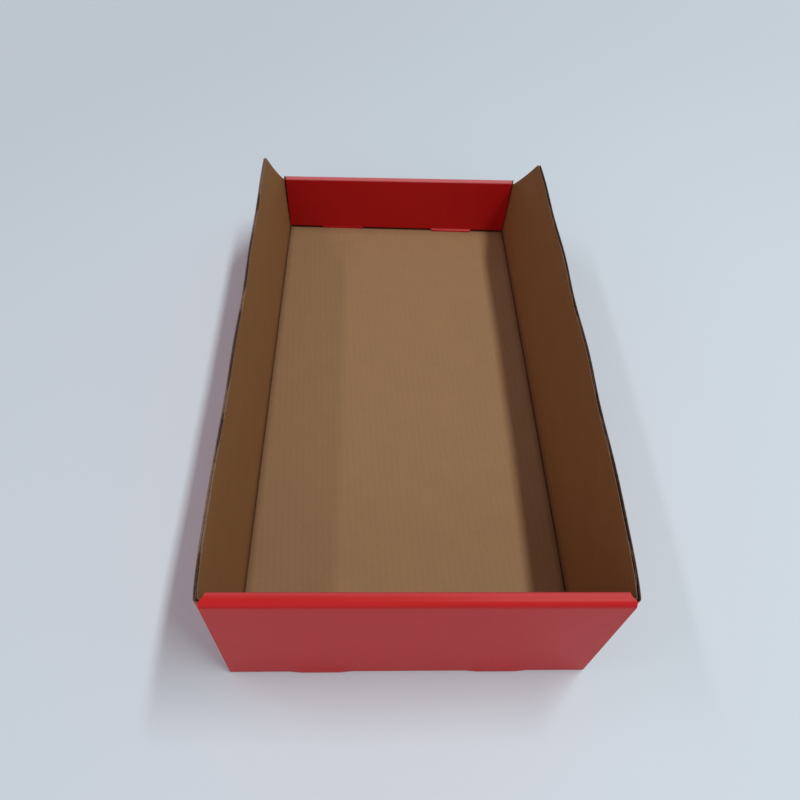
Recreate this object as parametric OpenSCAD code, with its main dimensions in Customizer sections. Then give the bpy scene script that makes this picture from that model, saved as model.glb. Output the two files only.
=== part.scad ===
// Display tray folded from one blank of fine corrugated board, printed red outside and bare kraft inside.
// The blank has a base, two side walls with a flap at each end, and two roll-over end walls.
// Each end wall goes up, over a narrow spine and down again inside, over the flaps of both side walls,
// and two tabs on its inner panel lock into slots in the base.
// The end at -Y is tall, the end at +Y is low, and the side walls are cut down to it on a slant.
// Frame: +Z up, X across, Y along, origin at the centre of the underside.

/* [Tray] */
// Clear width between the side walls, at the base
inside_w = 150; // [130:1:220]
// Clear length between the inner panels of the two end walls
inside_l = 296; // [200:1:420]
// Height of the tall end, over its spine
tall_h = 76; // [60:1:110]
// Height of the low end at its left, over its spine
low_h = 40; // [25:1:50]
// Extra height of the low end at its right
low_rise = 2; // [0:0.1:3]

/* [Board] */
// Thickness of the board
board_t = 1.6; // [1.2:0.1:2.5]
// Inside radius of the folds between a side wall and its flaps
fold_r = 0.3; // [0.2:0.1:0.8]
// Rounding of the outside of a crease
crease_r = 1.2; // [0.4:0.1:1.2]
// Rounding of the tall end's top at its outer face, where it rolls over
roll_tall = 2.6; // [1.8:0.1:3]
// Rounding of the low end's top at its outer face, where it rolls over
roll_low = 3.6; // [1.8:0.1:3.6]
// Air between the layers of an end wall
layer_gap = 0.3; // [0.1:0.05:0.6]

/* [Side walls] */
// Length of the slanted cut at the low end
cut_l = 32; // [20:1:60]
// Sag of the slanted cut below a straight line
cut_sag = 0.6; // [0:0.2:3]
// Length of the flaps at the ends of a side wall
flap_l = 60; // [20:1:70]
// Outward lean of both walls' free top edges towards the tall end
lean_tall = 3.9; // [0:0.1:5]
// Outward lean of the left wall's top edge towards the low end, as if the wall had its full height there
lean_left = 6.7; // [0:0.1:8]
// Outward lean of the right wall's top edge towards the low end, as if the wall had its full height there
lean_right = 5.7; // [0:0.1:8]
// Distance that the tall end wall holds the top edge back at its corners
hold_tall = 1.5; // [0:0.1:4]
// Distance that the low end wall holds the top edge back at its corners
hold_low = 4.5; // [0:0.1:5]
// Length of wall over which the hold of an end dies out
hold_l = 12; // [4:1:30]
// Outward bow of the left wall's top edge
bow_left = -0.9; // [-1.5:0.1:3]
// Outward bow of the right wall's top edge
bow_right = 1.5; // [-1.5:0.1:3]
// Height of the waves along the left wall's top edge
wave_left = 0.2; // [0:0.1:1]
// Height of the waves along the right wall's top edge
wave_right = 0.4; // [0:0.1:1]
// Number of waves along a top edge
wave_count = 4.4; // [2:0.1:8]
// Part of a wave that lies before the tall end
wave_start = 0.27; // [0:0.01:1]

/* [Locks] */
// Width of a locking tab
tab_w = 25; // [12:1:40]
// Distance of a tab's middle from the middle of the tray
tab_x = 38; // [24:1:45]
// Slant at each side of a tab, between its panel and the base
tab_corner = 1.7; // [0.5:0.1:3]
// Distance that the left tabs are bent towards the inside
push_left = 0.2; // [0.2:0.1:2]
// Distance that the right tabs are bent towards the inside
push_right = 1.2; // [0.2:0.1:2]
// Play round a tab in its slot
slot_play = 0.3; // [0.1:0.1:0.6]
// Distance of a tab's tip above the underside
tab_lift = 0.2; // [0.1:0.1:0.8]
// Height of the inner panels' lower edge above the base
panel_lift = 1.4; // [0.8:0.1:2]
// Widening of an inner panel at each side of its top
panel_flare = 0.2; // [0:0.1:1]

/* [Hidden] */
$fn = 48;
print_red = [0.72, 0.09, 0.10];

// Stations along the straight part of a side wall, along its cut and round a fold
wall_steps = 44;
cut_steps = 12;
fold_steps = 8;

// An end wall is three boards thick: outer panel, flap and inner panel
end_t = 3 * board_t + 2 * layer_gap;
outer_w = inside_w + 2 * board_t;
outer_l = inside_l + 2 * end_t;
panel_w = inside_w - 2 * fold_r;
panel_z = board_t + panel_lift;
panel_y = end_t - board_t;

// The flaps end just under the spines, and the side walls have the same top edge
// The right wall rises with the low end by as much as the spine does over the end of its flap
wall_h = tall_h - board_t - layer_gap;
low_flap_h = low_h - board_t - layer_gap;
wall_rise = low_rise * (1 / 2 + (inside_w / 2 - flap_l) / outer_w);
foot_z = board_t + fold_r;

// The straight part of a side wall runs between the centres of its two end folds
flap_y = outer_l / 2 - board_t - layer_gap;
wall_end = flap_y - board_t - fold_r;
cut_start = wall_end - cut_l;
fold_mid_r = fold_r + board_t / 2;

// Bend of a side wall: lean towards the low end, bow and waves of its top edge
bend_left = [lean_left, bow_left, wave_left];
bend_right = [lean_right, bow_right, wave_right];

function lerp(a, b, u) = a + (b - a) * u;

// Outward shift of a side wall's top edge at a place along the tray
function top_shift(y, bend) =
    let (v = (y + wall_end) / (2 * wall_end))
    lerp(lean_tall, bend[0], v) + 4 * bend[1] * v * (1 - v)
        + bend[2] * sin(180 * v) * cos(360 * (wave_count * v + wave_start))
        - hold_tall * exp(-(wall_end + y) / hold_l)
        - hold_low * exp(-(wall_end - y) / hold_l);

// Height of a side wall's top edge, which may rise a little, then goes down the slanted cut to the low flap
function top_z(y, rise) =
    let (u = min(1, max(0, (y - cut_start) / cut_l)))
    let (v = min(1, max(0, (y + wall_end) / (2 * wall_end))))
    lerp(wall_h, low_flap_h, u) - 4 * cut_sag * u * (1 - u) + rise * v;

// Plan of the right side wall from flap to flap: middle of the board and direction of its outside
function fold_stations(y, from, to) =
    [for (i = [0 : fold_steps])
        let (a = lerp(from, to, i / fold_steps))
        [inside_w / 2 - fold_r + fold_mid_r * cos(a), y + fold_mid_r * sin(a), a]];
function wall_stations() = concat(
    [[inside_w / 2 - flap_l, -flap_y + board_t / 2, -90]],
    fold_stations(-wall_end, -90, 0),
    [for (i = [1 : wall_steps]) [inside_w / 2 + board_t / 2, lerp(-wall_end, cut_start, i / wall_steps), 0]],
    [for (i = [1 : cut_steps - 1]) [inside_w / 2 + board_t / 2, lerp(cut_start, wall_end, i / cut_steps), 0]],
    fold_stations(wall_end, 0, 90),
    [[inside_w / 2 - flap_l, flap_y - board_t / 2, 90]]);

// Corner of the board at a station: side is 1 for its outside and -1 for its inside
function board_point(s, side, z, bend) =
    let (y = min(wall_end, max(-wall_end, s[1])))
    let (shift = top_shift(y, bend) * (z - foot_z) / (wall_h - foot_z))
    [s[0] + side * board_t / 2 * cos(s[2]) + shift, s[1] + side * board_t / 2 * sin(s[2]), z];
function board_ring(s, bend, rise) =
    let (top = top_z(s[1], rise))
    [board_point(s, 1, foot_z, bend), board_point(s, 1, top, bend),
     board_point(s, -1, top, bend), board_point(s, -1, foot_z, bend)];

// Piece to cut away at the origin for a corner rounded to radius r
module corner_bit(r) {
    difference() {
        translate([-r, -r]) square(2 * r);
        translate([r, r]) circle(r);
    }
}

// Section of the board that rolls over an end of the given height, from its outer face inwards
// It goes on below the base, and the corners of the flaps clear the inside of the roll
module roll_section(h, roll) {
    roll_in = min(roll - board_t, 3 * layer_gap);
    difference() {
        translate([0, -h]) square([end_t, 2 * h]);
        translate([0, h]) mirror([0, 1]) corner_bit(roll);
        translate([end_t, h]) rotate(180) corner_bit(crease_r);
        difference() {
            translate([board_t, -2 * h]) square([board_t + 2 * layer_gap, 3 * h - board_t]);
            translate([board_t, h - board_t]) mirror([0, 1]) corner_bit(roll_in);
        }
    }
}

// Room of an end wall: full width at the outer panel, slanted along the spine to the flared inner panel
module end_room(h, rise) {
    top_w = panel_w + 2 * panel_flare;
    flare_z = h - board_t;
    room_h = h + rise + board_t;
    linear_extrude(room_h)
        polygon([
            [-outer_w / 2, 0],
            [outer_w / 2, 0],
            [outer_w / 2, board_t],
            [top_w / 2, panel_y],
            [-top_w / 2, panel_y],
            [-outer_w / 2, board_t]]);
    translate([0, end_t, 0])
        rotate([90, 0, 0])
            linear_extrude(board_t)
                polygon([
                    [-panel_w / 2, 0],
                    [panel_w / 2, 0],
                    [top_w / 2, flare_z],
                    [top_w / 2, room_h],
                    [-top_w / 2, room_h],
                    [-top_w / 2, flare_z]]);
}

// Tab that goes on from an inner panel, slants to the inside and stands in its slot
module tab(push) {
    up = panel_z + board_t;
    bend_z = panel_z - panel_lift / 2;
    near_y = panel_y + push;
    intersection() {
        rotate([90, 0, 90])
            linear_extrude(tab_w + 4 * tab_corner, center = true)
                polygon([
                    [panel_y, up],
                    [panel_y, panel_z],
                    [near_y, bend_z],
                    [near_y, tab_lift],
                    [near_y + board_t, tab_lift],
                    [near_y + board_t, bend_z],
                    [end_t, panel_z],
                    [end_t, up]]);
        translate([0, 2 * end_t, 0])
            rotate([90, 0, 0])
                linear_extrude(2 * end_t)
                    polygon([
                        [-tab_w / 2 - tab_corner, up],
                        [-tab_w / 2 - tab_corner, panel_z],
                        [-tab_w / 2, board_t],
                        [-tab_w / 2, 0],
                        [tab_w / 2, 0],
                        [tab_w / 2, board_t],
                        [tab_w / 2 + tab_corner, panel_z],
                        [tab_w / 2 + tab_corner, up]]);
    }
}

// Length of section along X, longer than an end wall is wide
module along_end() {
    rotate([90, 0, 90]) linear_extrude(2 * outer_w, center = true) children();
}

// End wall with its outer face at Y = 0 and the tray towards +Y, and the bend of the tabs at -X and +X
// Its top rises towards -X
module end_wall(h, roll, rise, pushes) {
    difference() {
        intersection() {
            translate([outer_w / 2, 0, h])
                rotate([0, atan(rise / outer_w), 0])
                    translate([-outer_w / 2, 0, -h])
                        along_end() roll_section(h, roll);
            end_room(h, rise);
        }
        along_end() corner_bit(crease_r);
        along_end() translate([2 * board_t, -panel_z]) square([end_t, 2 * panel_z]);
    }
    for (k = [0, 1])
        translate([(2 * k - 1) * tab_x, 0, 0]) tab(pushes[k]);
}

// Slots of one end, in the frame of its end wall
module end_slots(pushes) {
    for (k = [0, 1])
        translate([(2 * k - 1) * tab_x - tab_w / 2 - slot_play, panel_y + pushes[k] - slot_play, -board_t])
            cube([tab_w + 2 * slot_play, board_t + 2 * slot_play, 3 * board_t]);
}

// Section of the fold that carries a side wall, from the base outwards
module side_fold_section() {
    difference() {
        translate([-board_t, 0]) square([2 * board_t, foot_z]);
        translate([-board_t, board_t]) square([board_t, foot_z]);
        translate([board_t, 0]) mirror([1, 0]) corner_bit(crease_r);
    }
}

// Base with the folds that carry the side walls
module base() {
    translate([-inside_w / 2, crease_r - outer_l / 2, 0])
        cube([inside_w, outer_l - 2 * crease_r, board_t]);
    for (side = [0, 1])
        mirror([side, 0, 0])
            translate([inside_w / 2, wall_end, 0])
                rotate([90, 0, 0])
                    linear_extrude(2 * wall_end) side_fold_section();
}

// Right side wall with its two flaps, as one bent board
module side_wall(bend, rise) {
    rings = [for (s = wall_stations()) board_ring(s, bend, rise)];
    last = len(rings) - 1;
    sides = [for (i = [0 : last - 1], k = [0 : 3])
        let (a = 4 * i + k, b = 4 * i + (k + 1) % 4)
        each [[a, b, b + 4], [a, b + 4, a + 4]]];
    ends = [[3, 2, 1, 0], [for (k = [0 : 3]) 4 * last + k]];
    polyhedron([for (r = rings) each r], concat(sides, ends));
}

module tray() {
    color(print_red) {
        difference() {
            base();
            translate([0, -outer_l / 2, 0]) end_slots([push_left, push_right]);
            translate([0, outer_l / 2, 0]) rotate(180) end_slots([push_right, push_left]);
        }
        translate([0, -outer_l / 2, 0])
            end_wall(tall_h, roll_tall, 0, [push_left, push_right]);
        translate([0, outer_l / 2, 0])
            rotate(180) end_wall(low_h, roll_low, low_rise, [push_right, push_left]);
        side_wall(bend_right, wall_rise);
        mirror([1, 0, 0]) side_wall(bend_left, 0);
    }
}

tray();
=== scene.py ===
"""Open display tray folded from one blank of printed corrugated board.

The tray stands on its base with +Z up, its tall end at -Y and its low end at +Y. All sizes are in
metres. The board is worked out as it is folded: each panel is a pair of surfaces, the printed face
and the kraft face, over a grid, and the cut edges between them are open, with a wavy core inside.
"""

import math
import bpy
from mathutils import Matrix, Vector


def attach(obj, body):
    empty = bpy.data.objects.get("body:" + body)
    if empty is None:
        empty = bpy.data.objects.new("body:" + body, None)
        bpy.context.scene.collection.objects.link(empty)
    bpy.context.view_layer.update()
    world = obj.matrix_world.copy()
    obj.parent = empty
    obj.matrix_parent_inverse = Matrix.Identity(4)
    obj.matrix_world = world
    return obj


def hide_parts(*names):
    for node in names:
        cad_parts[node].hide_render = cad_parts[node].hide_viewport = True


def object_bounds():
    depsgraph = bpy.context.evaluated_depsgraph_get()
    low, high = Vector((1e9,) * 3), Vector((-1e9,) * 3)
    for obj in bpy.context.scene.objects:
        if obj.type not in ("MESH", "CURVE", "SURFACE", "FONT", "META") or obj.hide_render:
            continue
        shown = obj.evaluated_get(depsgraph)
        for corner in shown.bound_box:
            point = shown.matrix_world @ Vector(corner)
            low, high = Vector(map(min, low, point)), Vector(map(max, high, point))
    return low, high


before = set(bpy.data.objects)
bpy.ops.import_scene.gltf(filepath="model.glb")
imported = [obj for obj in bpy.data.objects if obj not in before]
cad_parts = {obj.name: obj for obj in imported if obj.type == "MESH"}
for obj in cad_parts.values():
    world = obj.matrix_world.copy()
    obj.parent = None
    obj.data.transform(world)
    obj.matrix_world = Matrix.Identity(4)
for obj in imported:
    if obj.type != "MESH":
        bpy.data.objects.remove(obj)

from types import SimpleNamespace

import bmesh
import bpy
import numpy as np
from bpy.props import FloatProperty, FloatVectorProperty, IntProperty, PointerProperty
from mathutils import Matrix

bl_info = {
    "name": "Folded Board Tray",
    "version": (1, 0, 0),
    "blender": (4, 5, 0),
    "location": "View3D > Sidebar > Tray",
    "description": "Folds an open display tray from one blank of printed corrugated board",
    "category": "Mesh",
}

CAD_LOW, CAD_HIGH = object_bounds()
MM = 0.001
PRINT, KRAFT, CUT = 0, 1, 2  # places of the materials on the board
LAYERS = 6  # grids of a sheet: printed face, four along the groove of a cut edge, kraft face
TINY = 1e-9  # slack where places are compared
DIGITS = 6  # decimals that places are rounded to, a thousandth of a millimetre
WELD = 1e-6  # distance within which the borders of two sheets are joined
WALL_STEPS, CUT_STEPS = 150, 48  # rows along the level and the slanted part of a side wall
FLAP_STEPS = 24  # rows along a side wall's flap
GROOVE_SHARE = 0.45  # most of a cell's width that the groove of a cut edge takes up
SHUT_SHARE = 0.47  # part of the thickness that each facing takes up where a cut is pressed shut
SHARP_BOARD, SHARP_CORE = math.radians(38), math.radians(50)
MOTTLE_RANGE = 0.3, 0.7  # values of the mottling that count as dark and light
SENSOR_WIDTH, NEAREST = 36, 0.01  # width of the camera's picture in mm, and the nearest it sees


class TraySettings(bpy.types.PropertyGroup):
    """Sizes of the folded tray"""

    inside_width: FloatProperty(
        name="Inside width", description="Between the side walls, at the base", default=150 * MM,
        unit="LENGTH")
    outer_length: FloatProperty(
        name="Outer length", description="Over both end walls", default=CAD_HIGH.y - CAD_LOW.y,
        unit="LENGTH")
    tall_height: FloatProperty(
        name="Tall end", description="Height of the tall end over its spine", default=CAD_HIGH.z,
        unit="LENGTH")
    low_height: FloatProperty(
        name="Low end", description="Height of the low end at its left, over its spine",
        default=40 * MM, unit="LENGTH")
    low_rise: FloatProperty(
        name="Low end's rise", description="Extra height of the low end at its right",
        default=2 * MM, unit="LENGTH")
    cut_length: FloatProperty(
        name="Slanted cut", description="Length of the side walls' slanted cut", default=32 * MM,
        unit="LENGTH")
    cut_sag: FloatProperty(
        name="Cut sag", description="Sag of the slanted cut below a straight line",
        default=0.6 * MM, unit="LENGTH")
    flap_length: FloatProperty(
        name="Flaps", description="Length of the flaps inside the end walls", default=60 * MM,
        unit="LENGTH")
    lean_tall: FloatProperty(
        name="Lean at tall end", description="Outward lean of both free top edges",
        default=3.9 * MM, unit="LENGTH")
    lean_left: FloatProperty(
        name="Left lean", description="Outward lean of the left top edge at the low end",
        default=6.7 * MM, unit="LENGTH")
    lean_right: FloatProperty(
        name="Right lean", description="Outward lean of the right top edge at the low end",
        default=5.7 * MM, unit="LENGTH")
    hold_tall: FloatProperty(
        name="Hold at tall end", description="Distance that the tall end holds the top edge back",
        default=1.5 * MM, unit="LENGTH")
    hold_low: FloatProperty(
        name="Hold at low end", description="Distance that the low end holds the top edge back",
        default=4.5 * MM, unit="LENGTH")
    hold_length: FloatProperty(
        name="Hold length", description="Length of wall over which the hold dies out",
        default=12 * MM, unit="LENGTH")
    bow_left: FloatProperty(
        name="Left bow", description="Outward bow of the left wall's top edge", default=-0.9 * MM,
        unit="LENGTH")
    bow_right: FloatProperty(
        name="Right bow", description="Outward bow of the right wall's top edge", default=1.5 * MM,
        unit="LENGTH")
    wave_left: FloatProperty(
        name="Left waves", description="Height of the waves along the left top edge",
        default=0.2 * MM, unit="LENGTH")
    wave_right: FloatProperty(
        name="Right waves", description="Height of the waves along the right top edge",
        default=0.4 * MM, unit="LENGTH")
    wave_count: FloatProperty(
        name="Wave count", description="Number of waves along a top edge", default=4.4)
    wave_start: FloatProperty(
        name="Wave start", description="Part of a wave before the tall end", default=0.27)
    tab_width: FloatProperty(
        name="Tab width", description="Width of a locking tab", default=25 * MM, unit="LENGTH")
    tab_place: FloatProperty(
        name="Tab place", description="Distance of a tab's middle from the tray's middle",
        default=38 * MM, unit="LENGTH")
    tab_corner: FloatProperty(
        name="Tab corner", description="Slant at each side of a tab, above the base",
        default=1.7 * MM, unit="LENGTH")
    push_left: FloatProperty(
        name="Left push", description="Distance that the left tabs are bent towards the inside",
        default=0.2 * MM, unit="LENGTH")
    push_right: FloatProperty(
        name="Right push", description="Distance that the right tabs are bent towards the inside",
        default=1.2 * MM, unit="LENGTH")
    tab_lift: FloatProperty(
        name="Tab lift", description="Height of a tab's tip over the underside", default=0.2 * MM,
        unit="LENGTH")
    slot_play: FloatProperty(
        name="Slot play", description="Play round a tab in its slot", default=0.3 * MM,
        unit="LENGTH")
    panel_lift: FloatProperty(
        name="Panel lift", description="Height of the inner panels' lower edge over the base",
        default=1.4 * MM, unit="LENGTH")
    panel_flare: FloatProperty(
        name="Panel flare", description="Widening of an inner panel at each side of its top",
        default=0.2 * MM, unit="LENGTH")
    lock_bulge: FloatProperty(
        name="Lock bulge", description="Bulge of the end crease behind each tab", default=0.5 * MM,
        unit="LENGTH")
    crush_left: FloatProperty(
        name="Left crush", description="Part of the left wall's cut edge that is pressed shut",
        default=0.9, min=0, max=1)
    crush_right: FloatProperty(
        name="Right crush", description="Part of the right wall's cut edge that is pressed shut",
        default=0.05, min=0, max=1)
    open_length: FloatProperty(
        name="Open cut", description="Length of the cut edge that stays open at the tall end",
        default=14 * MM, unit="LENGTH")
    open_fade: FloatProperty(
        name="Open cut's fade", description="Length over which the open cut closes", default=8 * MM,
        unit="LENGTH")
    wall_rows: IntProperty(
        name="Wall rows", description="Rows of faces up a side wall", default=14, min=4)


class BoardSettings(bpy.types.PropertyGroup):
    """Sizes and colours of the corrugated board"""

    thickness: FloatProperty(
        name="Thickness", description="Thickness of the board", default=1.6 * MM, unit="LENGTH")
    liner: FloatProperty(
        name="Liner", description="Thickness of each facing paper", default=0.22 * MM,
        unit="LENGTH")
    core: FloatProperty(
        name="Core", description="Thickness of the wavy paper", default=0.18 * MM, unit="LENGTH")
    flute: FloatProperty(
        name="Flute pitch", description="Distance from wave to wave", default=3.3 * MM,
        unit="LENGTH")
    flute_skew: FloatProperty(
        name="Flute skew", description="Sideways run of the flutes along the tray", default=0.06)
    cut_depth: FloatProperty(
        name="Cut depth", description="Depth that can be seen between the facings at a cut",
        default=2.4 * MM, unit="LENGTH")
    crease: FloatProperty(
        name="Crease radius", description="Outside radius of a crease", default=1.2 * MM,
        unit="LENGTH")
    roll_tall: FloatProperty(
        name="Tall roll", description="Outside radius of the tall end's top at its outer face",
        default=2.6 * MM, unit="LENGTH")
    roll_low: FloatProperty(
        name="Low roll", description="Outside radius of the low end's top at its outer face",
        default=3.6 * MM, unit="LENGTH")
    crease_inside: FloatProperty(
        name="Inside crease radius", description="Inside radius of an end wall's crease",
        default=0.15 * MM, unit="LENGTH")
    fold: FloatProperty(
        name="Flap fold radius", description="Inside radius of the flaps' folds", default=0.3 * MM,
        unit="LENGTH")
    layer_gap: FloatProperty(
        name="Layer gap", description="Air between the layers of an end wall", default=0.3 * MM,
        unit="LENGTH")
    print_colour: FloatVectorProperty(
        name="Print", description="Colour of the printed face", subtype="COLOR",
        default=(0.49, 0.0090, 0.0098), min=0, max=1)
    # Lighter print on the spines and tab bends: partly rubbed print, partly painted sheen,
    # reflection and highlight.
    worn_and_sheen_colour: FloatVectorProperty(
        name="Worn print", description="Colour of the print along a sharp crease", subtype="COLOR",
        default=(0.56, 0.11, 0.12), min=0, max=1)
    kraft_colour: FloatVectorProperty(
        name="Kraft", description="Colour of the kraft face", subtype="COLOR",
        default=(0.314, 0.170, 0.087), min=0, max=1)
    # Painted shade: the kraft above the base, where the walls stand in shade, is tinted deeper.
    wall_shade_tint: FloatVectorProperty(
        name="Wall tint", description="Tint of the kraft face on the side walls", subtype="COLOR",
        default=(1.0, 0.87, 0.66), min=0, max=1)
    # Painted shade along the creases and under the end panels: its width, amount and colour.
    crease_spread: FloatProperty(
        name="Crease spread", description="Width of the base that a side crease darkens",
        default=2.5 * MM, unit="LENGTH")
    crease_shade: FloatProperty(
        name="Crease shade", description="Darkening of the kraft face beside a side crease",
        default=0.45, min=0, max=1)
    crease_shade_colour: FloatVectorProperty(
        name="Kraft crease", description="Colour of the kraft face along a crease", subtype="COLOR",
        default=(0.125, 0.045, 0.018), min=0, max=1)
    core_colour: FloatVectorProperty(
        name="Core", description="Colour of the cut paper", subtype="COLOR",
        default=(0.165, 0.098, 0.073), min=0, max=1)


class StageSettings(bpy.types.PropertyGroup):
    """Floor, lamps and camera"""

    floor_colour: FloatVectorProperty(
        name="Floor", description="Colour of the floor", subtype="COLOR",
        default=(0.618, 0.651, 0.717), min=0, max=1)
    floor_size: FloatProperty(
        name="Floor size", description="Side of the floor", default=24, unit="LENGTH")
    floor_reach: FloatProperty(
        name="Floor reach", description="Distance at which the floor starts to fade", default=0.3,
        unit="LENGTH")
    floor_fade: FloatProperty(
        name="Floor fade", description="Distance over which the floor fades into the backdrop",
        default=0.8, unit="LENGTH")
    backdrop_colour: FloatVectorProperty(
        name="Backdrop", description="Colour seen beyond the floor", subtype="COLOR",
        default=(0.60, 0.66, 0.73), min=0, max=1)
    key_place: FloatVectorProperty(
        name="Main lamp", description="Middle of the main lamp", subtype="TRANSLATION",
        default=(0.57, -0.12, 1.69))
    key_power: FloatProperty(
        name="Main power", description="Power of the main lamp", default=22.7, unit="POWER")
    side_place: FloatVectorProperty(
        name="Side lamp", description="Middle of the side lamp", subtype="TRANSLATION",
        default=(-1.16, 0.0, 1.80))
    side_power: FloatProperty(
        name="Side power", description="Power of the side lamp", default=7.4, unit="POWER")
    key_colour: FloatVectorProperty(
        name="Main colour", description="Colour of the main lamp", subtype="COLOR",
        default=(0.855, 1.0, 0.982), min=0, max=1)
    front_place: FloatVectorProperty(
        name="Front lamp", description="Middle of the wide front lamp", subtype="TRANSLATION",
        default=(-0.3, -2.0, 1.1))
    front_power: FloatProperty(
        name="Front power", description="Power of the wide front lamp", default=11.0, unit="POWER")
    front_size: FloatProperty(
        name="Front size", description="Side of the front lamp", default=1.8, unit="LENGTH")
    front_tilt: FloatProperty(
        name="Front tilt", description="Tilt of the front lamp from straight down", subtype="ANGLE",
        default=math.radians(62))
    fill_colour: FloatVectorProperty(
        name="Fill colour", description="Colour of the other lamps and the even light",
        subtype="COLOR", default=(1.0, 0.92, 0.943), min=0, max=1)
    lamp_width: FloatProperty(
        name="Lamp width", description="Width of the main and side lamps", default=0.12,
        unit="LENGTH")
    lamp_length: FloatProperty(
        name="Lamp length", description="Length of the main and side lamps", default=1.2,
        unit="LENGTH")
    sky: FloatProperty(name="Sky", description="Even light from all round", default=0.22)
    camera_place: FloatVectorProperty(
        name="Camera", description="Place of the camera", subtype="TRANSLATION",
        default=(-0.01986, -0.23986, 0.30247))
    camera_turn: FloatProperty(
        name="Turn", description="Turn of the view to the right", subtype="ANGLE",
        default=math.radians(4.604))
    camera_tilt: FloatProperty(
        name="Tilt", description="Tilt of the view below the horizon", subtype="ANGLE",
        default=math.radians(51.955))
    camera_roll: FloatProperty(
        name="Roll", description="Roll of the picture", subtype="ANGLE",
        default=math.radians(4.413))
    camera_lens: FloatProperty(
        name="Lens", description="Focal length on a 36 mm picture", default=30.275)


def derived(scene):
    """Places that follow from the settings, as plain numbers in metres."""
    tray, board = scene.tray_sizes, scene.tray_board
    s = SimpleNamespace(tray=tray, board=board, t=board.thickness)
    s.end_t = 3 * s.t + 2 * board.layer_gap
    s.half_in = tray.inside_width / 2
    s.half_out = s.half_in + s.t
    s.half_panel = s.half_in - board.fold
    crease_inset = 1 * MM
    s.half_base = s.half_in - crease_inset
    s.half_len = tray.outer_length / 2
    s.flap_y = s.half_len - s.t - board.layer_gap
    s.wall_end = s.flap_y - s.t - board.fold
    s.cut_start = s.wall_end - tray.cut_length
    s.foot = s.t + board.fold
    s.wall_top = tray.tall_height - s.t - board.layer_gap
    s.low_top = tray.low_height - s.t - board.layer_gap
    s.wall_rise = tray.low_rise * (0.5 + (s.half_in - tray.flap_length) / (2 * s.half_out))
    s.panel_foot = s.t + tray.panel_lift
    s.panel_out = s.end_t - s.t
    s.pushes = np.array([tray.push_left, tray.push_right])
    s.slot_near = s.panel_out + s.pushes - tray.slot_play
    s.slot_far = s.end_t + s.pushes + tray.slot_play
    s.slot_half = tray.tab_width / 2 + tray.slot_play
    return s


def fold_path(corners, radii, stations, steps=8):
    """Rows of a folded profile in a plane.

    Each leg runs along one axis of the plane from a corner to the next, with rows at the given
    stations on that axis. Round a corner c, with its own radius r, the rows follow a quarter arc
    from direction d1 to d2, with angle a from 0 to 90 degrees:
    c - r d1 + r (sin a d1 + (1 - cos a) d2).
    """
    corners = np.asarray(corners, float)
    legs = np.diff(corners, axis=0)
    ways = legs / np.linalg.norm(legs, axis=1, keepdims=True)
    angle = np.linspace(0, np.pi / 2, steps + 1)[:, None]
    rows = []
    for i, places in enumerate(stations):
        leg = np.repeat(corners[i][None], len(places), axis=0)
        leg[:, np.argmax(np.abs(ways[i]))] = places
        rows.append(leg)
        if i + 1 < len(stations):
            turn = np.sin(angle) * ways[i] + (1 - np.cos(angle)) * ways[i + 1]
            rows.append(corners[i + 1] + radii[i] * (turn - ways[i]))
    return np.concatenate(rows)


def run_length(rows):
    """Length along a row of points, from the first one."""
    return np.concatenate([[0], np.cumsum(np.linalg.norm(np.diff(rows, axis=0), axis=1))])


def smooth(x):
    """Rises from 0 to 1 as x goes from 0 to 1, level at both ends."""
    x = np.clip(x, 0, 1)
    return x * x * (3 - 2 * x)


def tab_window(s, x):
    """1 in front of a locking tab and 0 away from it, with a soft border."""
    border, softness = 2 * MM, 7 * MM
    beyond = np.abs(np.abs(x) - s.tray.tab_place) - s.tray.tab_width / 2
    return smooth((border - beyond) / softness)


def wall_stations(s):
    """Places along the straight part of a side wall, closer together along the slanted cut."""
    from_tall, from_low, past_panel = 9 * MM, 1 * MM, 0.3 * MM
    level = np.linspace(-s.half_len + from_tall, s.cut_start, WALL_STEPS)
    slanted = np.linspace(s.cut_start, s.wall_end - from_low, CUT_STEPS)
    edges = (*s.slot_near, *s.slot_far, s.end_t + past_panel)
    slots = [side * (s.half_len - edge) for side in (-1, 1) for edge in edges]
    places = np.concatenate([[-s.wall_end, s.wall_end], slots, level, slanted])
    return np.unique(np.round(places, DIGITS))


def wall_shift(s, y, bend):
    """Outward shift of a side wall's top edge: lean, bow and waves, less the hold of both ends."""
    lean_low, bow, wave = bend
    v = (np.clip(y, -s.wall_end, s.wall_end) + s.wall_end) / (2 * s.wall_end)
    lean = s.tray.lean_tall + (lean_low - s.tray.lean_tall) * v
    ripple = np.sin(np.pi * v) * np.cos(2 * np.pi * (s.tray.wave_count * v + s.tray.wave_start))
    tall = 2 * s.wall_end * v / s.tray.hold_length
    low = 2 * s.wall_end * (1 - v) / s.tray.hold_length
    held = s.tray.hold_tall * np.exp(-tall) + s.tray.hold_low * np.exp(-low)
    return lean + 4 * bow * v * (1 - v) + wave * ripple - held


def wall_height(s, y, rise):
    """Height of a side wall's top edge: a slight rise, then the slanted cut to the low flap."""
    u = np.clip((y - s.cut_start) / s.tray.cut_length, 0, 1)
    v = np.clip((y + s.wall_end) / (2 * s.wall_end), 0, 1)
    return s.wall_top + (s.low_top - s.wall_top) * u - 4 * s.tray.cut_sag * u * (1 - u) + rise * v


def flute_place(s, across, along):
    """Place on the flat blank, counted first across the flutes, which run a little askew."""
    return np.stack([across + s.board.flute_skew * along, along], axis=-1)


def flute_phase(s, flat):
    """Angle of the core's wave on the blank, where a cut wanders a little across the flutes."""
    swing, stretch = 0.7 * MM, 11 * MM
    wander = swing * np.sin(flat[..., 1] / stretch)
    return 2 * np.pi * (flat[..., 0] + wander) / s.board.flute


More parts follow.
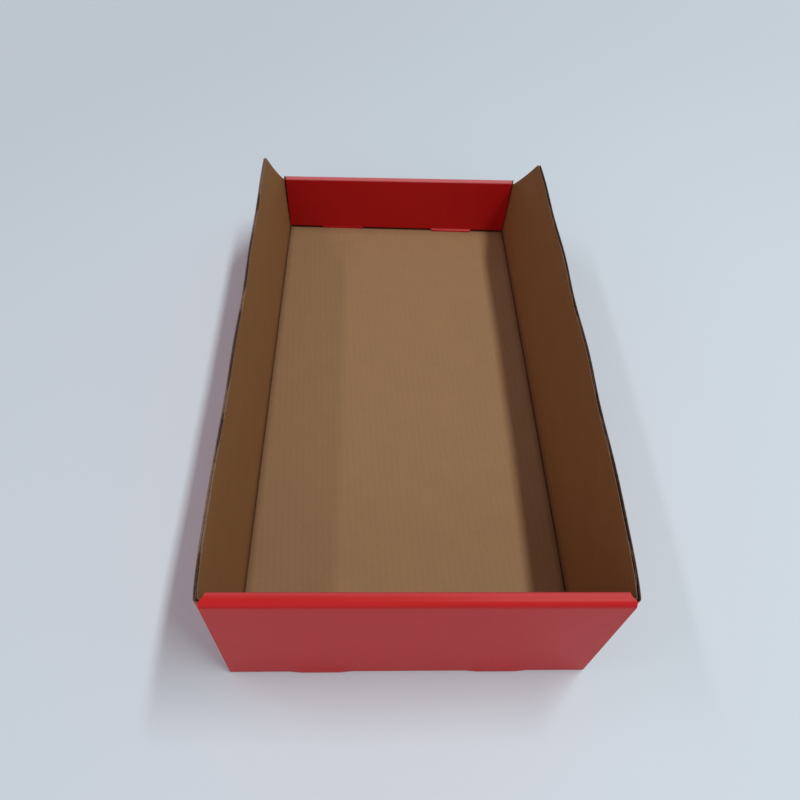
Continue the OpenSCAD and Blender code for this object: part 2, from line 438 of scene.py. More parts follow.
def board_sheet(s, printed, kraft, flat, keep, joined, rubbed_and_painted_light=0, painted_shade=0, crush=0):
    """Closed faces of one panel of board between a printed and a kraft grid.

    Cells that keep leaves out are holes, and joined marks the neighbours beyond the grid that carry
    on the board. Every other border is a cut edge: the facings stand on both sides of a groove,
    which is the border moved into the board by the cut depth, along the mean of the ways across the
    cells that meet there. The groove is pressed shut by the part that crush gives. The print
    carries the given wear with a painted sheen and highlight in it, and the kraft the given painted
    shade.
    """

    def neighbours(cells):
        sides = [cells[1:-1, :-2], cells[2:, 1:-1], cells[1:-1, 2:], cells[:-2, 1:-1]]
        return np.stack(sides, axis=-1)

    rows, columns = printed.shape[:2]
    count = rows * columns
    index = np.arange(count).reshape(rows, columns)
    corner = np.stack([index[:-1, :-1], index[1:, :-1], index[1:, 1:], index[:-1, 1:]], axis=-1)
    around = joined.copy()
    around[1:-1, 1:-1] = keep
    beside = neighbours(around)
    inside = np.zeros_like(around)
    inside[1:-1, 1:-1] = True
    grid_side = ~neighbours(inside)
    open_side = keep[..., None] & ~beside
    seam_side = keep[..., None] & beside & grid_side

    middle = ((printed + kraft) / 2).reshape(count, 3)
    first, second = corner, np.roll(corner, -1, axis=-1)
    third, fourth = np.roll(corner, -2, axis=-1), np.roll(corner, -3, axis=-1)
    inward = np.zeros((count, 3))
    reach = np.full(count, np.inf)
    for start, end in ((first, fourth), (second, third)):
        way = middle[end[open_side]] - middle[start[open_side]]
        length = np.linalg.norm(way, axis=1)
        np.add.at(inward, start[open_side], way / np.maximum(length, TINY)[:, None])
        np.minimum.at(reach, start[open_side], GROOVE_SHARE * length)
    inward /= np.maximum(np.linalg.norm(inward, axis=1, keepdims=True), TINY)
    inward *= np.minimum(np.where(np.isfinite(reach), reach, 0), s.board.cut_depth)[:, None]
    inward[np.unique(np.concatenate([first[seam_side], second[seam_side]]))] = 0

    outer, inner = printed.reshape(count, 3), kraft.reshape(count, 3)
    given = rubbed_and_painted_light, painted_shade, crush
    rubbed_and_painted_light, painted_shade, crush = (np.broadcast_to(value, (rows, columns)) for value in given)
    facing = s.board.liner / s.t
    facing = (facing + (SHUT_SHARE - facing) * crush).reshape(count, 1)
    near, far = outer + facing * (inner - outer), inner + facing * (outer - inner)
    points = np.concatenate([outer, near, near + inward, far + inward, far, inner])
    cells = corner[keep]
    a, b = first[open_side], second[open_side]
    edges = [np.stack([b + k, a + k, a + k + count, b + k + count], axis=-1)
             for k in count * np.arange(LAYERS - 1)]
    faces = np.concatenate([cells, cells[:, ::-1] + (LAYERS - 1) * count, *edges])
    surface = np.repeat([PRINT, KRAFT, CUT], [len(cells), len(cells), (LAYERS - 1) * len(a)])
    wear_and_painted_light = np.concatenate([rubbed_and_painted_light.ravel(), np.zeros((LAYERS - 2) * count), painted_shade.ravel()])
    return SimpleNamespace(
        points=points, faces=faces, surface=surface, wear_and_painted_light=wear_and_painted_light, crush=crush,
        flat=np.tile(flat.reshape(count, 2), (LAYERS, 1)), blank=flat,
        printed=printed, kraft=kraft, inward=inward.reshape(rows, columns, 3))


def end_to_end_sheet(s):
    """Base and both end walls: a folded profile along the tray, carried across it.

    The profile goes up the tall end's inner panel, over its spine, down its outer panel, along the
    base and round the low end in the same way. Its half width follows the panels. At both ends the
    rows below the inner panels are kept only across the tabs, which narrow towards the base and are
    bent to the inside.
    """
    t, end, half, foot = s.t, s.end_t, s.half_len, s.panel_foot
    tall, low = s.tray.tall_height, s.tray.low_height
    tab_rows = np.concatenate([[s.tray.tab_lift, 0.9 * MM], np.linspace(t - 0.2 * MM, foot, 9)])
    low_rows = foot + np.array([0.3, 0.8, 1.6, 3, 5, 8]) * MM

    def panel(top, count):
        high_rows = np.linspace(foot + 12 * MM, top - 3 * MM, count)
        return np.concatenate([tab_rows, low_rows, high_rows])

    def front(top, count):
        near_crease = np.array([2.4, 3.5, 5, 7, 10]) * MM
        return np.concatenate([near_crease, np.linspace(14 * MM, top - 4 * MM, count)])

    spine = end - half - s.board.crease - np.array([0.1, 0.2, 0.3]) * MM
    near = [-half + t + 0.3 * MM, -half + 3.2 * MM]
    base = np.concatenate([near, wall_stations(s), -np.array(near[::-1])])
    stations = [panel(tall, 9), spine, front(tall, 9)[::-1], base,
                front(low, 4), -spine[::-1], panel(low, 4)[::-1]]

    def profile(inset, crease, roll_tall, roll_low):
        tip = s.tray.tab_lift
        corners = [(end - half - inset, tip), (end - half - inset, tall - inset),
                   (inset - half, tall - inset), (inset - half, inset),
                   (half - inset, inset), (half - inset, low - inset),
                   (half - end + inset, low - inset), (half - end + inset, tip)]
        return fold_path(corners, [crease, roll_tall, crease, crease, roll_low, crease], stations)

    rolls = np.array([s.board.roll_tall, s.board.roll_low])
    outer = profile(0, s.board.crease, *rolls)
    inner = profile(t, s.board.crease_inside, *np.minimum(rolls - t, 3 * s.board.layer_gap))
    run = run_length((outer + inner) / 2)
    depth = half - np.abs(outer[:, 0])
    on_base = (outer[:, 1] < TINY) & (depth > t)
    on_panel = (depth > end - TINY) & ~on_base
    run -= np.interp(0, outer[on_base, 0], run[on_base])
    top = np.where(outer[:, 0] < 0, tall, low)
    flared = s.half_panel + s.tray.panel_flare * np.clip(outer[:, 1] / (top - t), 0, 1)
    width = s.half_out + (flared - s.half_out) * np.clip((depth - t) / (end - 2 * t), 0, 1)
    past_walls = s.half_in + 0.9 * MM
    beside_wall = np.abs(outer[on_base, 0]) < s.wall_end + TINY
    width[on_base] = np.where(beside_wall, s.half_base, past_walls)

    tab, corner = s.tray.tab_width / 2, s.tray.tab_corner
    marks = s.tray.tab_place + np.array([-tab - corner, -s.slot_half, s.slot_half, tab + corner])
    evenly = np.linspace(-73, 73, 75) * MM
    inside = np.unique(np.round(np.concatenate([evenly, marks, -marks]), DIGITS))
    x = np.concatenate([[-1], inside, [1]]) * np.ones((len(outer), 1))
    x[:, 0], x[:, -1] = -width, width
    end_way = np.sign(outer[:, :1])
    bulge_reach, bend_start, bend_length = 7 * MM, 0.2 * MM, 0.8 * MM
    from_crease = np.abs(np.abs(run[:, None]) - (half - t)) / bulge_reach
    bulge = end_way * s.tray.lock_bulge * tab_window(s, x) * np.exp(-from_crease ** 2)
    from_tab = np.abs(x) - s.tray.tab_place
    across_tab = np.abs(from_tab) < tab + corner + TINY
    narrow = corner * np.clip((foot - outer[:, 1:]) / (foot - t), 0, 1) / (tab + corner)
    below = on_panel[:, None] & (outer[:, 1:] < foot + TINY)
    tab_x = np.where(below & across_tab, x - np.sign(x) * from_tab * narrow, x)

    def grid(rows):
        y = np.repeat(rows[:, :1], x.shape[1], axis=1)
        z = np.repeat(rows[:, 1:], x.shape[1], axis=1)
        rise = s.tray.low_rise * (end_way > 0) * np.clip(0.5 + x / (2 * s.half_out), 0, 1)
        z = z + rise * np.clip((z - t) / (low - t), 0, 1)
        push = np.where(x < 0, *s.pushes) * across_tab
        bent = push * smooth((foot + bend_start - z) / bend_length)
        y = y + bulge - np.where(on_panel[:, None], end_way * bent, 0)
        return np.stack([tab_x, y, z], axis=-1)

    rows, columns = x.shape
    middle = (outer[1:] + outer[:-1])[:, None] / 2
    middle_y, middle_z = np.abs(middle[..., 0]), middle[..., 1]
    from_middle = np.abs(np.abs(x[:1, 1:] + x[:1, :-1]) / 2 - s.tray.tab_place)
    base_cell = (on_base[1:] & on_base[:-1])[:, None]
    near_edge, far_edge = (np.where(x[:1, 1:] < 0, *edge) for edge in (s.slot_near, s.slot_far))
    slot_row = base_cell & (middle_y < half - near_edge) & (middle_y > half - far_edge)
    slot = slot_row & (from_middle < s.slot_half)
    panel_cell = (on_panel[1:] & on_panel[:-1])[:, None]
    beside_tab = panel_cell & (middle_z < foot) & (from_middle > tab + corner)
    joined = np.zeros((rows + 1, columns + 1), bool)
    joined[1:-1, 0] = joined[1:-1, -1] = base_cell[:, 0] & (middle_y[:, 0] < s.wall_end)
    flat = flute_place(s, x, np.repeat(run[:, None], columns, axis=1))

    # Wear of the print with painted light: the tall spine's back rim is partly rubbed print and
    # partly a painted sheen, most of the low spine is a painted reflection, and the tabs' bends
    # carry a painted highlight.
    drop, drop_fade, back_fade, bend_reach = 1.1 * MM, 0.6 * MM, 0.8 * MM, 0.4 * MM
    tall_back, low_back, tall_wear_and_sheen, tab_highlight = end - 1.9 * MM, 1 * MM, 0.35, 0.3
    over = smooth((outer[:, 1] - top + drop) / drop_fade)
    back = np.where(outer[:, 0] < 0, tall_back, low_back)
    spine_wear_and_sheen = over * smooth((depth - back) / back_fade) * np.where(outer[:, 0] < 0, tall_wear_and_sheen, 1)
    on_tab = on_panel[:, None] & across_tab
    at_bend = smooth(1 - np.abs(outer[:, 1:] - foot) / bend_reach)
    bend_highlight = at_bend * np.where(x < 0, *s.pushes) / MM
    rubbed_and_painted_light = spine_wear_and_sheen[:, None] + tab_highlight * on_tab * bend_highlight

    # Painted shade on the kraft: darker under the end panels and beside the side creases.
    end_fade = 0.6 * MM
    under_panel_shade = smooth((end + end_fade - depth) / end_fade)[:, None]
    from_side = (s.half_base - np.abs(x)) / s.board.crease_spread
    side_crease_shade = s.board.crease_shade * smooth(1 - from_side)
    painted_shade = on_base[:, None] * np.maximum(under_panel_shade, side_crease_shade)
    keep = ~slot & ~beside_tab
    sheet = board_sheet(s, grid(outer), grid(inner), flat, keep, joined, rubbed_and_painted_light, painted_shade)
    sheet.on_base = on_base
    sheet.first_row = len(tab_rows)
    return sheet


def side_wall_sheet(s, side, bend, rise, crush):
    """One side wall with its two flaps: a folded plan from flap to flap, carried up to its top.

    Each point moves out sideways by the wall's shift in proportion to its height over the fold.
    The cut edge is pressed shut apart from stretches where it runs between two flutes, and the tall
    end's fold.
    """
    t, reach, rows = s.t, s.half_in - s.tray.flap_length, s.tray.wall_rows
    before_fold = 0.8 * MM
    flap = np.linspace(reach, s.half_panel - before_fold, FLAP_STEPS)
    stations = [flap, wall_stations(s)[1:-1], flap[::-1]]

    def plan(inset, radii):
        x, y = s.half_out - inset, s.flap_y - inset
        return fold_path([(reach, -y), (x, -y), (x, y), (reach, y)], radii, stations)

    outer, inner = plan(0, [s.board.fold + t] * 2), plan(t, [s.board.fold] * 2)
    run = run_length((outer + inner) / 2)
    on_wall = np.abs(outer[:, 0] - s.half_out) < TINY
    run -= np.interp(0, outer[on_wall, 1], run[on_wall])
    low_row = 0.01
    up = np.concatenate([[0, low_row], np.linspace(0, 1, rows)[1:]])

    def grid(plan_rows):
        y = plan_rows[:, 1:]
        z = s.foot + up * (wall_height(s, y, rise) - s.foot)
        shift = wall_shift(s, y, bend) * (z - s.foot) / (s.wall_top - s.foot)
        x = side * (plan_rows[:, :1] + shift)
        return np.stack([x, np.repeat(y, len(up), axis=1), z], axis=-1)

    printed, kraft = grid(outer), grid(inner)
    joined = np.zeros((len(outer) + 1, len(up) + 1), bool)
    joined[1:-1, 0] = on_wall[1:] & on_wall[:-1]
    along = np.repeat(run[:, None], len(up), axis=1)
    flat = flute_place(s, side * (s.half_in + printed[..., 2]), along)
    mean, swing = 0.5, 0.9
    between = smooth(mean + swing * np.sin(flute_phase(s, flat)))
    from_open = -outer[:, 1:] - s.wall_end + s.tray.open_length
    opened = np.maximum(between, smooth(from_open / s.tray.open_fade))
    # Painted shade on the kraft: darker round the folds at the wall's ends and along the wall's
    # foot.
    fold_reach, fold_fade = 0.9 * MM, 0.8 * MM
    painted_shade = smooth((np.abs(outer[:, 1:]) - s.wall_end + fold_reach) / fold_fade)
    painted_shade = painted_shade + np.where(up > 0, s.board.crease_shade * (up <= low_row), 1)
    return board_sheet(s, printed, kraft, flat, np.ones((len(outer) - 1, rows), bool), joined,
                       painted_shade=np.clip(painted_shade, 0, 1), crush=crush * (1 - opened))


def side_crease_sheet(s, side):
    """Fold between the base and a side wall: a quarter arc outside and a pressed groove inside."""
    outer = fold_path([(s.half_base, 0), (s.half_out, 0), (s.half_out, s.foot)], [s.board.crease],
                      [[s.half_base, s.half_base + 0.3 * MM], [s.foot - 0.3 * MM, s.foot]])
    dents = np.array([[-0.5, -0.1], [-0.15, -0.75], [0.2, -0.65], [0.25, 0]]) * MM
    pressed = np.array([s.half_in, s.t]) + dents
    groove = np.array([[s.half_base, s.t], *pressed, [s.half_in, s.foot]])
    part, step = np.linspace(0, 1, len(outer)), np.linspace(0, 1, len(groove))
    inner = np.stack([np.interp(part, step, places) for places in groove.T], axis=-1)
    y = wall_stations(s)[:, None] * np.ones(len(outer))

    def grid(rows):
        return np.stack([side * rows[:, 0] + 0 * y, y, rows[:, 1] + 0 * y], axis=-1)

    joined = np.zeros((len(y) + 1, len(outer) + 1), bool)
    joined[1:-1, 0] = joined[1:-1, -1] = True
    across = side * (s.half_base + run_length((outer + inner) / 2)) + 0 * y
    # Painted shade over the groove's kraft: partly dark on the base side, fully dark from about a
    # third of the way towards the wall.
    dark_from = 0.3
    return board_sheet(s, grid(outer), grid(inner), flute_place(s, across, y),
                       np.ones((len(y) - 1, len(outer) - 1), bool), joined,
                       painted_shade=np.maximum(s.board.crease_shade, smooth(part / dark_from)))


def core_ribbon(s, sheet, border):
    """Wavy core along a cut edge: a thin strip set between the facings by a sine of the flutes."""
    outer, inner, inward = sheet.printed[border], sheet.kraft[border], sheet.inward[border]
    swing = (1 - (2 * s.board.liner + s.board.core) / s.t) / 2 * (1 - sheet.crush[border])
    wave = swing * np.sin(flute_phase(s, sheet.blank[border]))
    middle = outer + (inner - outer) * (0.5 + wave)[:, None]
    half = (inner - outer) * (s.board.core / s.t / 2)
    top_share, floor_share = 0.3, 1.02
    top, floor = top_share * inward, floor_share * inward
    ring = np.stack([middle - half + top, middle + half + top,
                     middle + half + floor, middle - half + floor], axis=1)
    count = len(ring)
    start = 4 * np.arange(count - 1)[:, None] + np.arange(4)
    after = 4 * np.arange(count - 1)[:, None] + np.roll(np.arange(4), -1)
    sides = np.stack([start, after, after + 4, start + 4], axis=-1).reshape(-1, 4)
    ends = np.array([[3, 2, 1, 0], 4 * (count - 1) + np.arange(4)])
    flat = np.repeat(sheet.blank[border], 4, axis=0)
    return SimpleNamespace(
        points=ring.reshape(-1, 3), faces=np.concatenate([sides, ends]), flat=flat,
        surface=np.zeros(len(sides) + 2, int), wear_and_painted_light=np.zeros(4 * count))


def mesh_piece(name, sheets, materials, sharp):
    """One object from several sheets: borders joined, faces turned out and creases kept sharp."""
    offset = np.cumsum([0] + [len(sheet.points) for sheet in sheets[:-1]])
    points = np.concatenate([sheet.points for sheet in sheets])
    faces = np.concatenate([sheet.faces + k for sheet, k in zip(sheets, offset)])
    flat = np.concatenate([sheet.flat for sheet in sheets])
    used, faces = np.unique(faces, return_inverse=True)
    faces = faces.reshape(-1, 4)
    mesh = bpy.data.meshes.new(name)
    mesh.from_pydata(points[used].tolist(), [], faces.tolist())
    mesh.polygons.foreach_set("material_index", np.concatenate([sheet.surface for sheet in sheets]))
    mesh.polygons.foreach_set("use_smooth", np.ones(len(faces), bool))
    # The attribute holds the print's wear with its painted sheen and highlight, and painted shade
    # on the kraft.
    rubbed_and_painted_light = np.concatenate([sheet.wear_and_painted_light for sheet in sheets])[used].astype(np.float32)
    mesh.attributes.new("wear_and_painted_light", "FLOAT", "POINT").data.foreach_set("value", rubbed_and_painted_light)
    blank = mesh.uv_layers.new(name="blank")
    blank.uv.foreach_set("vector", flat[used][faces].ravel())
    work = bmesh.new()
    work.from_mesh(mesh)
    bmesh.ops.remove_doubles(work, verts=work.verts, dist=WELD)
    bmesh.ops.recalc_face_normals(work, faces=work.faces)
    work.to_mesh(mesh)
    work.free()
    mesh.set_sharp_from_angle(angle=sharp)
    for material in materials:
        mesh.materials.append(material)
    piece = bpy.data.objects.new(name, mesh)
    bpy.context.scene.collection.objects.link(piece)
    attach(piece, "root")
    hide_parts("tray")
    return piece


def add_node(tree, kind, inputs=None, **settings):
    """A node with its settings, and inputs set from values or linked from other outputs."""
    node = tree.nodes.new(kind)
    for key, value in settings.items():
        setattr(node, key, value)
    for key, value in (inputs or {}).items():
        if isinstance(value, bpy.types.NodeSocket):
            tree.links.new(value, node.inputs[key])
        else:
            node.inputs[key].default_value = value
    return node


def blend(tree, factor, low, high, **settings):
    """Colour between two others by a factor."""
    inputs = {"Factor": factor, "A": low, "B": high}
    return add_node(tree, "ShaderNodeMix", inputs, data_type="RGBA", **settings).outputs["Result"]


def reckon(tree, operation, *values):
    """Result of one operation on numbers or other nodes' outputs."""
    return add_node(tree, "ShaderNodeMath", dict(enumerate(values)), operation=operation).outputs[0]


def spread(tree, value, low, high, to_low=0.0, to_high=1.0, **settings):
    """A value carried from one range to another and held at its ends."""
    inputs = {"Value": value, "From Min": low, "From Max": high,
              "To Min": to_low, "To Max": to_high}
    return add_node(tree, "ShaderNodeMapRange", inputs, **settings).outputs["Result"]


def noise(tree, place, scale, detail, roughness):
    """Soft noise from 0 to 1."""
    inputs = {"Vector": place, "Scale": scale, "Detail": detail, "Roughness": roughness}
    return add_node(tree, "ShaderNodeTexNoise", inputs).outputs["Fac"]


def paper_group(flute):
    """Paper over flutes on the flat blank: mottling, fibres, faint bands and a height for them."""
    mottle_scale, fibre_scale, fibre_stretch, fibre_height = 55, 2600, 0.16, 0.6
    group = bpy.data.node_groups.new("paper over flutes", "ShaderNodeTree")
    for name, value in (("Fibre size", 1.0), ("Flute height", 1.0)):
        socket = group.interface.new_socket(name, in_out="INPUT", socket_type="NodeSocketFloat")
        socket.default_value = value
    for name in ("Mottle", "Fibre", "Flute", "Height"):
        group.interface.new_socket(name, in_out="OUTPUT", socket_type="NodeSocketFloat")
    given = add_node(group, "NodeGroupInput").outputs
    blank = add_node(group, "ShaderNodeUVMap", uv_map="blank").outputs["UV"]
    mottle = noise(group, blank, mottle_scale, detail=6, roughness=0.7)
    along = add_node(group, "ShaderNodeMapping", {"Vector": blank, "Scale": (1, fibre_stretch, 1)})
    size = reckon(group, "DIVIDE", fibre_scale, given["Fibre size"])
    fibre = noise(group, along.outputs["Vector"], size, detail=3, roughness=0.65)
    across = add_node(group, "ShaderNodeSeparateXYZ", {"Vector": blank}).outputs["X"]
    band = reckon(group, "SINE", reckon(group, "MULTIPLY", across, 2 * math.pi / flute))
    swell = reckon(group, "MULTIPLY", band, given["Flute height"])
    height = reckon(group, "MULTIPLY_ADD", fibre, fibre_height, swell)
    result = add_node(group, "NodeGroupOutput").inputs
    for name, socket in (("Mottle", mottle), ("Fibre", fibre), ("Flute", band), ("Height", height)):
        group.links.new(socket, result[name])
    return group


def new_material(name):
    """An empty material with its shader, and its tree."""
    material = bpy.data.materials.new(name)
    material.use_nodes = True
    shader = material.node_tree.nodes["Principled BSDF"]
    return material, material.node_tree, shader


def scaled(colour, factor):
    """A colour made lighter or darker, with full alpha."""
    return (*(min(1.0, c * factor) for c in colour), 1.0)


def paper_grain(tree, paper, fibre_size, flute_height):
    """Outputs of the paper group at its own fibre size and flute height."""
    inputs = {"Fibre size": fibre_size, "Flute height": flute_height}
    return add_node(tree, "ShaderNodeGroup", inputs, node_tree=paper).outputs


def lay_on(tree, shader, colour, height, strength, depth):
    """Gives the shader its colour, and a bump of some depth from a height."""
    inputs = {"Strength": strength, "Distance": depth, "Height": height}
    bump = add_node(tree, "ShaderNodeBump", inputs)
    tree.links.new(colour, shader.inputs["Base Color"])
    tree.links.new(bump.outputs["Normal"], shader.inputs["Normal"])


def printed_material(board, paper):
    """Smooth red print under a thin varnish, with the flutes just showing through."""
    material, tree, shader = new_material("red print")
    dark, light, glossy, matt = 0.97, 1.03, 0.34, 0.46
    grain = paper_grain(tree, paper, fibre_size=1.6, flute_height=0.8)
    tone = spread(tree, grain["Mottle"], *MOTTLE_RANGE)
    even = blend(tree, tone, scaled(board.print_colour, dark), scaled(board.print_colour, light))
    # Lighter print from the mesh attribute: rubbed print with a painted sheen on the spines, and a
    # painted highlight on the tab bends.
    rubbed_and_painted_light = add_node(tree, "ShaderNodeAttribute", attribute_name="wear_and_painted_light").outputs["Fac"]
    colour = blend(tree, rubbed_and_painted_light, even, (*board.worn_and_sheen_colour, 1))
    lay_on(tree, shader, colour, grain["Height"], strength=0.25, depth=0.02 * MM)
    tree.links.new(spread(tree, grain["Fibre"], 0, 1, glossy, matt), shader.inputs["Roughness"])
    shader.inputs["Specular IOR Level"].default_value = 0.15
    return material


def kraft_material(board, paper):
    """Bare brown kraft: mottled, fibrous and faintly banded, with painted shade on the walls and
    along the creases.
    """
    material, tree, shader = new_material("bare kraft")
    dark, light, strand_dark, band_dark = 0.96, 1.04, 0.62, 0.6
    most_strand, most_band = 0.18, 0.07
    grain = paper_grain(tree, paper, fibre_size=1.0, flute_height=1.0)
    tone = spread(tree, grain["Mottle"], *MOTTLE_RANGE)
    cloud = blend(tree, tone, scaled(board.kraft_colour, dark), scaled(board.kraft_colour, light))
    strand = spread(tree, grain["Fibre"], 0.35, 0.7, 0, most_strand)
    fibred = blend(tree, strand, cloud, scaled(board.kraft_colour, strand_dark))
    bands = spread(tree, grain["Flute"], -1, 1, 0, most_band)
    banded = blend(tree, bands, fibred, scaled(board.kraft_colour, band_dark))
    # Painted shade: the kraft above the base is tinted deeper, from a bit over the base's height
    # upwards.
    place = add_node(tree, "ShaderNodeTexCoord").outputs["Object"]
    height = add_node(tree, "ShaderNodeSeparateXYZ", {"Vector": place}).outputs["Z"]
    raised = spread(tree, height, board.thickness, 3 * board.thickness)
    tint = blend(tree, raised, (1, 1, 1, 1), (*board.wall_shade_tint, 1))
    toned = blend(tree, 1.0, banded, tint, blend_type="MULTIPLY")
    # Painted shade along the creases and under the end panels, from the mesh attribute.
    painted_shade = add_node(tree, "ShaderNodeAttribute", attribute_name="wear_and_painted_light").outputs["Fac"]
    colour = blend(tree, painted_shade, toned, (*board.crease_shade_colour, 1))
    lay_on(tree, shader, colour, grain["Height"], strength=0.5, depth=0.04 * MM)
    shader.inputs["Roughness"].default_value = 0.85
    shader.inputs["Specular IOR Level"].default_value = 0.1
    return material


def cut_material(board, paper):
    """Torn paper of the cut edges and the core, with fibres along the cut."""
    material, tree, shader = new_material("cut paper")
    dark, light = 0.75, 1.3
    grain = paper_grain(tree, paper, fibre_size=0.7, flute_height=0.0)
    strand = spread(tree, grain["Fibre"], 0.3, 0.7)
    colour = blend(tree, strand, scaled(board.core_colour, dark), scaled(board.core_colour, light))
    lay_on(tree, shader, colour, grain["Height"], strength=0.7, depth=0.05 * MM)
    shader.inputs["Roughness"].default_value = 0.95
    shader.inputs["Specular IOR Level"].default_value = 0.2
    return material


def seen_rays(tree):
    """1 for what is seen, straight or by gloss and glass, and 0 for what only lights the object."""
    path = add_node(tree, "ShaderNodeLightPath").outputs
    seen = reckon(tree, "MAXIMUM", path["Is Camera Ray"], path["Is Glossy Ray"])
    return reckon(tree, "MAXIMUM", seen, path["Is Transmission Ray"])


def floor_material(stage):
    """Pale floor that takes the shadow and fades into the backdrop some way off."""
    material, tree, shader = new_material("pale floor")
    shader.inputs["Base Color"].default_value = (*stage.floor_colour, 1)
    shader.inputs["Roughness"].default_value = 0.7
    place = add_node(tree, "ShaderNodeTexCoord").outputs["Object"]
    off = add_node(tree, "ShaderNodeVectorMath", {0: place}, operation="LENGTH").outputs["Value"]
    beyond = spread(tree, off, stage.floor_reach, stage.floor_reach + stage.floor_fade,
                    interpolation_type="SMOOTHSTEP")
    fade = reckon(tree, "MULTIPLY", beyond, seen_rays(tree))
    pale = add_node(tree, "ShaderNodeEmission", {"Color": (*stage.backdrop_colour, 1)})
    both = add_node(tree, "ShaderNodeMixShader", {
        0: fade, 1: shader.outputs["BSDF"], 2: pale.outputs["Emission"]})
    tree.links.new(both.outputs["Shader"], tree.nodes["Material Output"].inputs["Surface"])
    return material


def even_light(stage):
    """World that lights the object evenly and is seen as the pale backdrop."""
    world = bpy.data.worlds.new("even light")
    world.use_nodes = True
    tree = world.node_tree
    light = tree.nodes["Background"]
    light.inputs["Color"].default_value = (*stage.fill_colour, 1)
    light.inputs["Strength"].default_value = stage.sky
    pale = add_node(tree, "ShaderNodeBackground", {"Color": (*stage.backdrop_colour, 1)})
    both = add_node(tree, "ShaderNodeMixShader", {
        0: seen_rays(tree), 1: light.outputs["Background"], 2: pale.outputs["Background"]})
    tree.links.new(both.outputs["Shader"], tree.nodes["World Output"].inputs["Surface"])
    return world


def board_materials(scene):
    """Print, kraft and cut paper, made once."""
    wanted = ("red print", "bare kraft", "cut paper")
    if wanted[0] not in bpy.data.materials:
        paper = paper_group(scene.tray_board.flute)
        for make in (printed_material, kraft_material, cut_material):
            make(scene.tray_board, paper)
    return [bpy.data.materials[name] for name in wanted]


def board_sheets(scene):
    """The blank's sheets in their folded places: ends with base, side walls, and side creases."""
    s = derived(scene)
    tray = s.tray
    bend_right = tray.lean_right, tray.bow_right, tray.wave_right
    bend_left = tray.lean_left, tray.bow_left, tray.wave_left
    walls = [side_wall_sheet(s, 1, bend_right, s.wall_rise, tray.crush_right),
             side_wall_sheet(s, -1, bend_left, 0, tray.crush_left)]
    return s, end_to_end_sheet(s), walls, [side_crease_sheet(s, side) for side in (1, -1)]


class TRAY_OT_board(bpy.types.Operator):
    """Fold the board: base, side walls with flaps, and roll-over end walls in one skin"""

    bl_idname = "tray.board"
    bl_label = "Fold the board"

    def execute(self, context):
        _, ends, walls, creases = board_sheets(context.scene)
        sheets, materials = [ends, *walls, *creases], board_materials(context.scene)
        mesh_piece("folded_board", sheets, materials, SHARP_BOARD)
        return {"FINISHED"}


class TRAY_OT_core(bpy.types.Operator):
    """Lay the wavy core between the facings along the cut edges that can be seen"""

    bl_idname = "tray.core"
    bl_label = "Lay the fluted core"

    def execute(self, context):
        s, ends, walls, _ = board_sheets(context.scene)
        first, last = np.flatnonzero(ends.on_base)[[0, -1]]
        ribbons = [core_ribbon(s, wall, np.s_[:, -1]) for wall in walls]
        for column in (0, -1):
            ribbons.append(core_ribbon(s, ends, np.s_[ends.first_row:first, column]))
            ribbons.append(core_ribbon(s, ends, np.s_[last + 1:-ends.first_row, column]))
        materials = board_materials(context.scene)[CUT:]
        mesh_piece("fluted_core", ribbons, materials, SHARP_CORE)
        return {"FINISHED"}


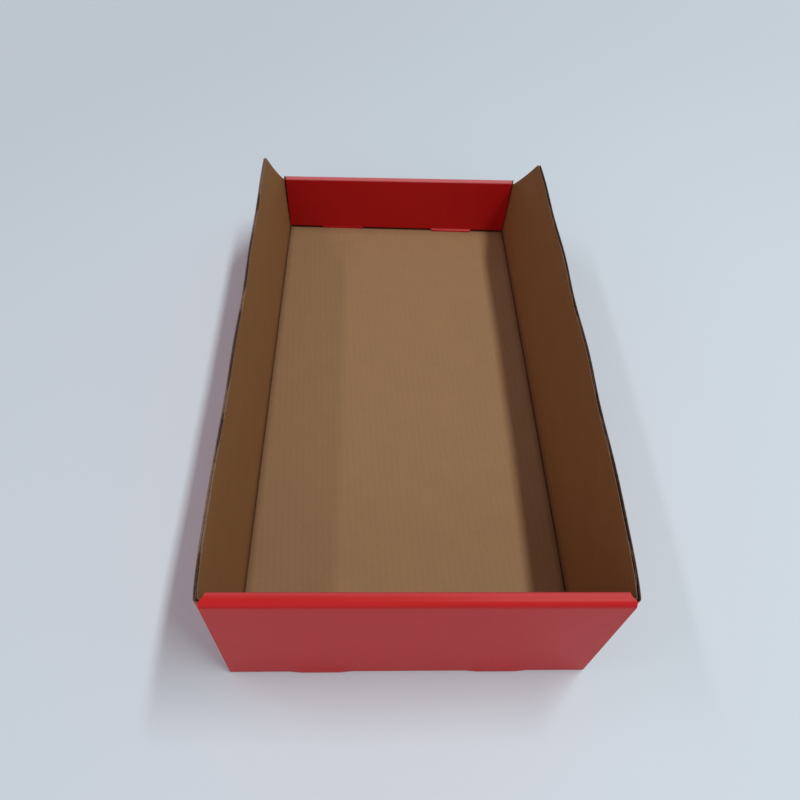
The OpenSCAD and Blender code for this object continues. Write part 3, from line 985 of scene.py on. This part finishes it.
class TRAY_OT_stage(bpy.types.Operator):
    """Set the floor, the lamps, the even light and the camera"""

    bl_idname = "tray.stage"
    bl_label = "Set the stage"

    def execute(self, context):
        scene, stage = context.scene, context.scene.tray_stage
        edge = stage.floor_size / 2
        floor = bpy.data.meshes.new("floor")
        corners = [(-edge, -edge, 0), (edge, -edge, 0), (edge, edge, 0), (-edge, edge, 0)]
        floor.from_pydata(corners, [], [(0, 1, 2, 3)])
        floor.materials.append(floor_material(stage))
        ground = bpy.data.objects.new("floor", floor)
        scene.collection.objects.link(ground)

        tube, wide = (stage.lamp_width, stage.lamp_length), (stage.front_size, stage.front_size)
        down, back = (0, 0, 0), (stage.front_tilt, 0, 0)
        key, fill = stage.key_colour, stage.fill_colour
        for name, place, power, size, colour, turn in (
                ("main_lamp", stage.key_place, stage.key_power, tube, key, down),
                ("side_lamp", stage.side_place, stage.side_power, tube, fill, down),
                ("front_lamp", stage.front_place, stage.front_power, wide, fill, back)):
            lamp = bpy.data.lights.new(name, "AREA")
            lamp.shape = "RECTANGLE"
            lamp.size, lamp.size_y = size
            lamp.energy = power
            lamp.color = colour
            holder = bpy.data.objects.new(name, lamp)
            holder.location = place
            holder.rotation_euler = turn
            scene.collection.objects.link(holder)

        scene.world = even_light(stage)
        lens = bpy.data.cameras.new("camera")
        lens.sensor_width = SENSOR_WIDTH
        lens.lens = stage.camera_lens
        lens.clip_start = NEAREST
        camera = bpy.data.objects.new("camera", lens)
        camera.location = stage.camera_place
        turn = Matrix.Rotation(-stage.camera_turn, 3, "Z")
        tilt = Matrix.Rotation(math.pi / 2 - stage.camera_tilt, 3, "X")
        roll = Matrix.Rotation(stage.camera_roll, 3, "Z")
        camera.rotation_euler = (turn @ tilt @ roll).to_euler()
        scene.collection.objects.link(camera)
        scene.camera = camera
        scene.view_settings.view_transform = "Standard"
        return {"FINISHED"}


class TRAY_PT_sidebar(bpy.types.Panel):
    """Sizes of the tray and the steps that make it"""

    bl_label = "Folded Board Tray"
    bl_idname = "TRAY_PT_sidebar"
    bl_space_type = "VIEW_3D"
    bl_region_type = "UI"
    bl_category = "Tray"

    def draw(self, context):
        for group in (context.scene.tray_sizes, context.scene.tray_board, context.scene.tray_stage):
            box = self.layout.box()
            for name in group.bl_rna.properties.keys():
                if name not in {"rna_type", "name"}:
                    box.prop(group, name)
        for operator in OPERATORS:
            self.layout.operator(operator.bl_idname)


SETTINGS = {"tray_sizes": TraySettings, "tray_board": BoardSettings, "tray_stage": StageSettings}
OPERATORS = (TRAY_OT_board, TRAY_OT_core, TRAY_OT_stage)


def register():
    """Registers the settings, operators and panel."""
    for name, group in SETTINGS.items():
        bpy.utils.register_class(group)
        setattr(bpy.types.Scene, name, PointerProperty(type=group))
    for item in (*OPERATORS, TRAY_PT_sidebar):
        bpy.utils.register_class(item)


def unregister():
    """Removes all that register added."""
    for item in (TRAY_PT_sidebar, *reversed(OPERATORS)):
        bpy.utils.unregister_class(item)
    for name, group in SETTINGS.items():
        delattr(bpy.types.Scene, name)
        bpy.utils.unregister_class(group)


def main():
    """Makes the tray and its stage."""
    register()
    bpy.ops.tray.board()
    bpy.ops.tray.core()
    bpy.ops.tray.stage()


if __name__ == "__main__":
    main()
